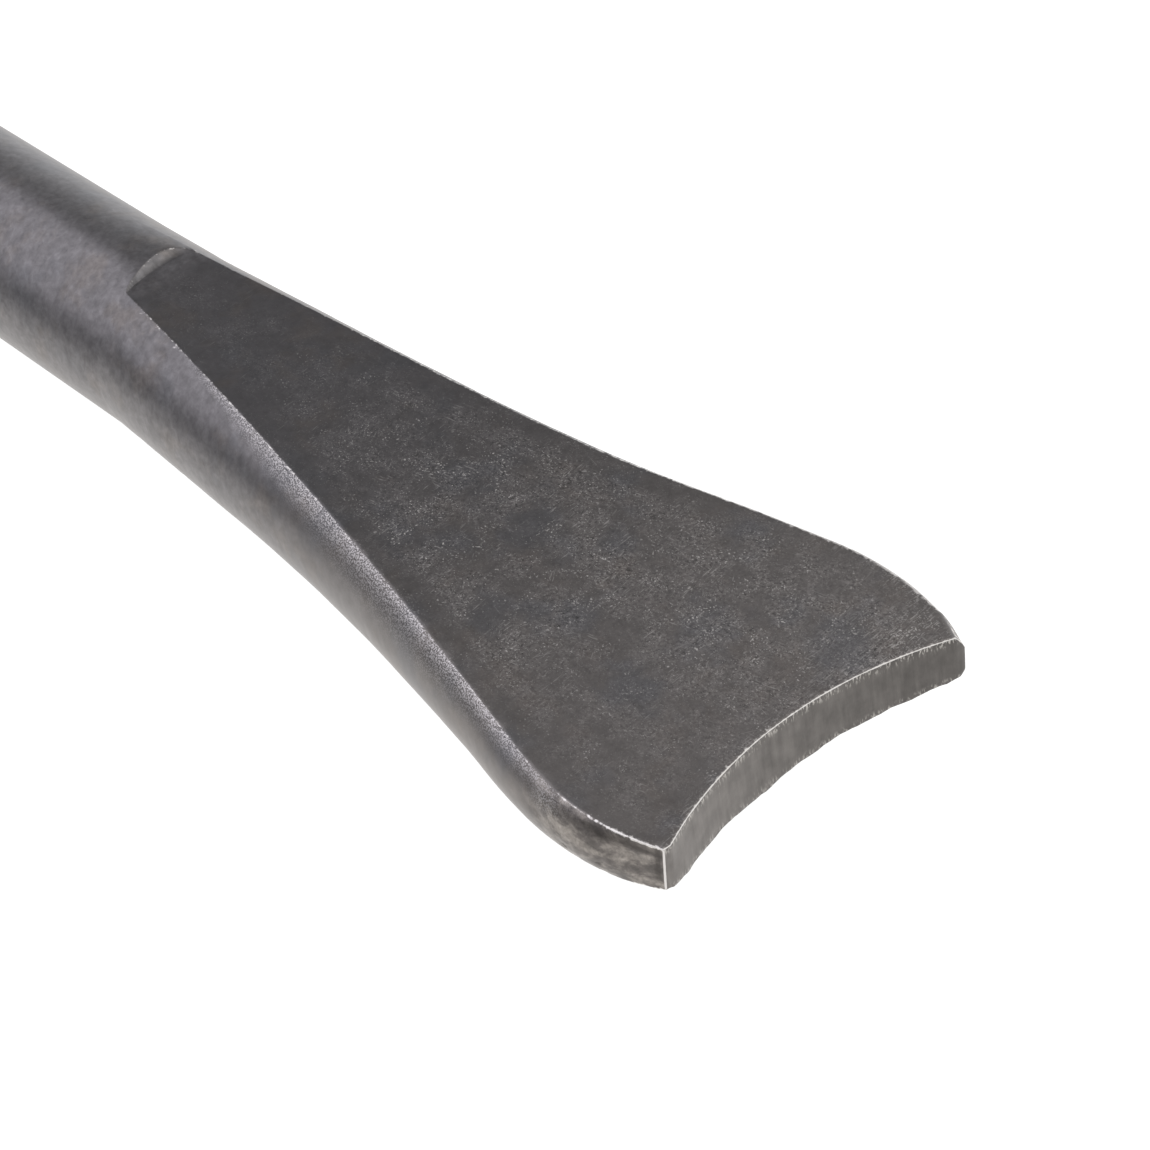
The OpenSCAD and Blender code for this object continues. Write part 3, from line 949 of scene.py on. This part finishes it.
def forged_steel():
    """Dark forged steel: scale in soft patches, fine grain, small bright flecks, painted glints, scratches,
    worn edges, a painted highlight on the step's crest, and painted shade and light.
    """
    look = Look("forged_steel_look")
    grit, sandy, sheared = look.mask("grit"), look.mask("sandy"), look.mask("sheared")
    mottle = look.noise(look.at, 1.1 * MM, 4, 0.62)
    grain = look.noise(look.at, 0.3 * MM, 3, 0.75)
    sand = look.noise(look.moved(0.5, 0.5, 0.2), 0.13 * MM, 1, 0.6)
    streaks = look.noise(look.stretched(look.at, (1, 1, 0.14)), 0.6 * MM, 4, 0.65)
    breaks = look.noise(look.moved(0.4, 0.4, 0.9), 0.45 * MM, 3, 0.6)
    breaks = look.both(look.math("SUBTRACT", breaks, 0.5), 1.5)
    patchy = look.patches((0.1, 0.9, 0.5), 3.2 * MM, 0.36, 0.64, 3, 0.6, 0.35, 1.5)
    rough_grain = look.both(grit, patchy)

    color = steel_scale(look, mottle)
    color = look.varied(color, grain, look.both(rough_grain, 2.0))
    pepper = look.both(look.span(sand, 0.47, 0.34), look.both(sandy, 0.5))
    color = look.mix(pepper, color, (0.05, 0.048, 0.048, 1))
    color = look.mix(look.both(look.mask("rusty"), 0.8), color, steel_crust(look, mottle))
    color = look.mix(look.both(look.mask("sooty"), 0.8), color, (0.04, 0.035, 0.032, 1))
    color = look.mix(steel_marks(look, grit, rough_grain), color, (0.6, 0.59, 0.57, 1))
    salt = look.both(look.span(sand, 0.45, 0.62), look.both(sandy, 0.8))
    color = look.mix(salt, color, (0.66, 0.65, 0.65, 1))
    color = look.mix(sheared, color, steel_cut(look, streaks))
    # Bright metal on worn edges, broken up; over the step's crest it is a painted highlight.
    ragged = look.span(look.plus(look.mask("worn"), breaks), 0.38, 0.75)
    color = look.mix(ragged, color, (0.8, 0.79, 0.77, 1))
    color = look.mix(corner_line(look, breaks), color, (0.75, 0.74, 0.73, 1))

    rough = look.span(rough_grain, 0, 1, 0.31, 0.40, smooth=False)
    height = look.both(look.plus(rough_grain, look.plus(sandy, 0.06)), grain)
    height = look.plus(height, look.both(look.both(sandy, 0.9), sand))
    height = look.plus(height, look.both(look.both(sheared, 0.3), streaks))
    height = look.plus(height, look.both(mottle, 0.35))
    return look.finish(color, rough, height, 0.5, 0.03 * MM, Metallic=0.75)


def steel_scale(look, mottle):
    """Colour of the skin of scale: brown and blue patches on grey, mottled and blotted most on the shank, with
    painted shade and light.
    """
    scaly = look.mask("scaly")
    color = look.mix(look.mask("shanked"), (0.176, 0.168, 0.163, 1), (0.163, 0.160, 0.165, 1))
    brown = look.patches((0.3, 0.1, 0.2), 5 * MM, 0.5, 0.68, 4, 0.6, 0.0, 0.6)
    blue = look.patches((0.7, 0.4, 0.1), 7 * MM, 0.5, 0.68, 3, 0.55, 0.0, 0.7)
    color = look.mix(brown, color, (0.182, 0.167, 0.156, 1))
    color = look.mix(blue, color, (0.150, 0.152, 0.160, 1))
    color = look.scaled(color, look.span(look.mask("dull"), 0, 1, 1.0, 0.72, smooth=False))
    # Painted shade at the foot of the step, and painted light on its face and on the near side.
    color = look.scaled(color, look.span(look.mask("painted_shade_and_light"), -1, 1, 1.35, 0.65, smooth=False))
    blots = look.noise(look.moved(0.8, 0.1, 0.6), 0.8 * MM, 3, 0.6, 0.6)
    color = look.varied(color, mottle, look.span(scaly, 0, 1, 0.6, 1.0, smooth=False))
    return look.varied(color, blots, look.both(scaly, 0.9))


def steel_marks(look, grit, rough_grain):
    """Share of bright colour on the flats: bare metal in flecks, short and long scratches and brush marks, and
    painted glints.
    """
    fine = look.noise(look.at, 0.16 * MM, 1, 0.5)
    curls = look.noise(look.moved(0.2, 0.7, 0.9), 0.34 * MM, 1, 0.5, 1.5)
    flecks = look.either(look.span(fine, 0.64, 0.78), look.span(curls, 0.62, 0.76, 0.0, 0.55))
    flecks = look.both(flecks, look.both(rough_grain, 0.65))
    # Painted glints: tiny highlights, set where there is grit.
    painted_glints = look.patches((0.6, 0.1, 0.9), 0.19 * MM, 0.68, 0.8, 0)
    painted_glints = look.both(painted_glints, look.both(grit, look.patches((0.3, 0.7, 0.1), 2.4 * MM, 0.48, 0.64)))
    across = look.both(look.strokes(96, 1.3 * MM, 0.18 * MM, 0.62, 0.76),
                       look.patches((0.5, 0.2, 0.8), 4.5 * MM, 0.5, 0.62))
    aslant = look.both(look.strokes(15, 1.0 * MM, 0.17 * MM, 0.62, 0.76),
                       look.patches((0.2, 0.6, 0.4), 4.0 * MM, 0.52, 0.66))
    steep = look.both(look.strokes(-50, 0.9 * MM, 0.17 * MM, 0.63, 0.76),
                      look.patches((0.9, 0.3, 0.7), 4.0 * MM, 0.56, 0.7))
    long_ones = look.plus(look.strokes(62, 16 * MM, 0.2 * MM, 0.765, 0.81),
                          look.strokes(-12, 14 * MM, 0.2 * MM, 0.77, 0.81))
    scratches = look.math("ADD", look.plus(across, aslant), look.plus(steep, long_ones), clamp=True)
    scratches = look.both(scratches, look.both(grit, 0.38))
    brush = look.either(look.strokes(92, 0.9 * MM, 0.15 * MM, 0.55, 0.72), look.span(fine, 0.56, 0.7))
    here = look.patches((0.7, 0.7, 0.2), 1.8 * MM, 0.4, 0.6, to_low=0.2, to_high=0.8)
    brush = look.both(brush, look.both(look.mask("brushed"), here))
    return look.either(look.either(flecks, scratches), look.either(painted_glints, brush))


def steel_crust(look, mottle):
    """Colour of the corroded part of the near side: dark and pale patches, drawn out along the bar."""
    at = look.stretched(look.moved(0.6, 0.8, 0.3), (0.55, 0.8, 1))
    pale = look.span(look.noise(at, 1.3 * MM, 4, 0.6, 0.4), 0.4, 0.6)
    color = look.mix(pale, (0.125, 0.115, 0.108, 1), (0.30, 0.280, 0.256, 1))
    pocks = look.noise(look.moved(0.2, 0.2, 0.7), 0.5 * MM, 3, 0.7, 0.4)
    return look.varied(look.varied(color, mottle, 1.5), pocks, 1.6)


def steel_cut(look, streaks):
    """Colour of the sheared end wall: upright streaks, painted shading that makes it lighter at the near end
    and darker at the far end, and ticks by the rims.
    """
    pale = look.span(streaks, 0.3, 0.7, smooth=False)
    color = look.mix(pale, (0.132, 0.126, 0.121, 1), (0.175, 0.168, 0.160, 1))
    color = look.varied(color, look.noise(look.moved(0.1, 0.5, 0.1), 1.8 * MM, 3, 0.6), 0.8)
    y = look.add("SeparateXYZ", {"Vector": look.at}).outputs[1]
    # Painted shading: lighter towards the near end of the wall, darker towards the far end.
    color = look.scaled(color, look.span(y, -16 * MM, 16 * MM, 1.2, 0.75, smooth=False))
    at = look.stretched(look.moved(0.3, 0.3, 0.3), (1, 1, 0.3))
    ticks = look.both(look.span(look.noise(at, 0.2 * MM, 2, 0.6), 0.5, 0.64), look.mask("burred"))
    return look.mix(ticks, color, (0.55, 0.54, 0.51, 1))


def corner_line(look, breaks):
    """Share of bright metal on the upright edge of the near corner, which leans with the undercut."""
    x, y, z = look.add("SeparateXYZ", {"Vector": look.at}).outputs
    undercut = look.span(z, AXIS_Z + TIP_T / 2, AXIS_Z - TIP_T / 2, 0, UNDERCUT, smooth=False)
    off_x = look.math("SUBTRACT", look.plus(x, undercut), TIP_X)
    off = look.add("CombineXYZ", {0: off_x, 1: look.plus(y, TIP_W / 2)}).outputs[0]
    off = look.add("VectorMath", {0: off}, operation="LENGTH").outputs["Value"]
    off = look.plus(off, look.both(breaks, 0.06 * MM))
    return look.span(off, 0.13 * MM, 0.07 * MM)


def grip_plastic():
    """Hard glass-filled plastic: a satin skin with faint flow marks, and edges rubbed paler by hands."""
    look = Look("grip_plastic_look")
    rubbed = look.mask("rubbed")
    flow = look.noise(look.stretched(look.at, (0.35, 1, 1)), 2.6 * MM, 4, 0.6, 0.8)
    fibres = look.noise(look.stretched(look.at, (0.2, 1, 1)), 0.22 * MM, 2, 0.6)
    color = look.mix(flow, (0.020, 0.021, 0.023, 1), (0.050, 0.051, 0.054, 1))
    color = look.mix(look.span(fibres, 0.62, 0.72, 0.0, 0.5), color, (0.11, 0.11, 0.112, 1))
    scuffs = look.plus(rubbed, look.both(look.math("SUBTRACT", fibres, 0.5), 1.6))
    color = look.mix(look.span(scuffs, 0.55, 1.1, 0.0, 0.8), color, (0.13, 0.13, 0.13, 1))
    rough = look.plus(look.span(flow, 0.3, 0.7, 0.44, 0.56), look.both(rubbed, 0.1))
    height = look.plus(fibres, look.both(flow, 0.6))
    return look.finish(color, rough, height, 0.45, 0.05 * MM, IOR=1.5)


def grip_rubber():
    """Soft black rubber: a fine pebbled skin, pale dust in the grooves and a shine where it is handled."""
    look = Look("grip_rubber_look")
    grooved, handled = look.mask("grooved"), look.mask("handled")
    cells = {"Vector": look.at, "Scale": 1 / (0.5 * MM)}
    pebbles = look.add("TexVoronoi", cells, feature="SMOOTH_F1").outputs[0]
    cloud = look.noise(look.at, 6 * MM, 4, 0.6)
    fine = look.noise(look.at, 0.35 * MM, 3, 0.65)
    color = look.mix(cloud, (0.014, 0.014, 0.015, 1), (0.030, 0.030, 0.031, 1))
    dust = look.both(grooved, look.span(look.noise(look.at, 1.8 * MM, 3, 0.6), 0.35, 0.7))
    dust = look.both(dust, look.span(fine, 0.35, 0.65, 0.3, 1.0))
    color = look.mix(look.both(dust, 0.45), color, (0.19, 0.18, 0.165, 1))
    nicks = look.span(look.noise(look.stretched(look.at, (1, 0.2, 0.2)), 0.4 * MM, 1), 0.68, 0.78, 0.0, 0.4)
    color = look.mix(look.both(nicks, handled), color, (0.11, 0.11, 0.11, 1))
    rough = look.math("SUBTRACT", look.span(fine, 0.3, 0.7, 0.66, 0.82), look.both(handled, 0.16))
    height = look.plus(pebbles, look.both(fine, 0.5))
    return look.finish(color, rough, height, 0.6, 0.06 * MM, IOR=1.5)


# ---- studio


def make_floor():
    """A wide white sheet that the tool rests on. It glows by itself, and isn't mirrored in the steel."""
    mesh = bpy.data.meshes.new("floor_sheet")
    half = 6.0
    corners = [(-half, -half, 0), (half, -half, 0), (half, half, 0), (-half, half, 0)]
    mesh.from_pydata(corners, [], [(0, 1, 2, 3)])
    floor = bpy.data.objects.new("floor", mesh)
    bpy.context.scene.collection.objects.link(floor)
    material = bpy.data.materials.new("pale_floor")
    material.use_nodes = True
    nodes = Nodes(material.node_tree)
    glow = nodes.add("Emission", {"Color": (1, 1, 1, 1), "Strength": 0.95})
    paper = nodes.add("BsdfDiffuse", {"Color": (0.25, 0.25, 0.25, 1)})
    surface = nodes.add("AddShader", {0: glow.outputs[0], 1: paper.outputs[0]})
    nodes.add("OutputMaterial", {"Surface": surface.outputs[0]})
    mesh.materials.append(material)
    floor.visible_glossy = False
    floor.visible_diffuse = False


def light_room():
    """A bright room: a lit floor, a pale wall beyond the tool, a dim one behind the camera, a wide panel on
    the left, and a ceiling that darkens towards the shank."""
    world = bpy.data.worlds.new("studio")
    bpy.context.scene.world = world
    world.use_nodes = True
    nodes = Nodes(world.node_tree)
    way = nodes.add("TexCoord").outputs["Generated"]
    x, y, z = nodes.add("SeparateXYZ", {0: way}).outputs
    ceiling = nodes.mix(nodes.span(x, -0.64, -0.02), (0.15, 0.148, 0.151, 1), (1.0, 0.97, 0.95, 1))
    wall = nodes.mix(nodes.span(y, -0.3, 0.3), (0.3, 0.295, 0.31, 1), (1.0, 1.0, 1.02, 1))
    room = nodes.mix(nodes.span(z, 0.0, 0.6), wall, ceiling)
    panel = nodes.both(nodes.span(y, 0.26, 0.14), nodes.span(z, 0.05, 0.3))
    panel = nodes.both(panel, nodes.span(x, 0.1, -0.3))
    room = nodes.mix(panel, room, (1.25, 1.21, 1.29, 1))
    light = nodes.mix(nodes.span(z, -0.02, -0.4), room, (1.08, 1.045, 1.02, 1))
    back = nodes.add("Background", {"Color": light, "Strength": 1.0})
    nodes.add("OutputWorld", {"Surface": back.outputs[0]})


def make_camera():
    """The photograph's view: close, above and in front of the near corner of the blade."""
    data = bpy.data.cameras.new("camera")
    camera = bpy.data.objects.new("camera", data)
    bpy.context.scene.collection.objects.link(camera)
    azimuth, elevation, roll = math.radians(55.461), math.radians(39.191), math.radians(-9.839)
    back = Vector((math.sin(azimuth) * math.cos(elevation), -math.cos(azimuth) * math.cos(elevation),
                   math.sin(elevation)))
    level = Vector((math.cos(azimuth), math.sin(azimuth), 0))
    above = back.cross(level)
    right = level * math.cos(roll) + above * math.sin(roll)
    up = above * math.cos(roll) - level * math.sin(roll)
    turn = Matrix((right, up, back)).transposed().to_4x4()
    tip = Vector((TIP_X, 0, AXIS_Z))
    from_tip = Vector((133.71, -112.16, 165.07)) * MM
    camera.matrix_world = Matrix.Translation(tip + from_tip) @ turn
    data.sensor_width = 36
    data.lens = 93.34
    data.clip_start = 0.01
    data.clip_end = 20
    bpy.context.scene.camera = camera


make_floor()
light_room()
make_camera()
bpy.context.scene.view_settings.view_transform = "Standard"
build_bar(forged_steel())
build_core(grip_plastic())
build_cushion(grip_rubber())
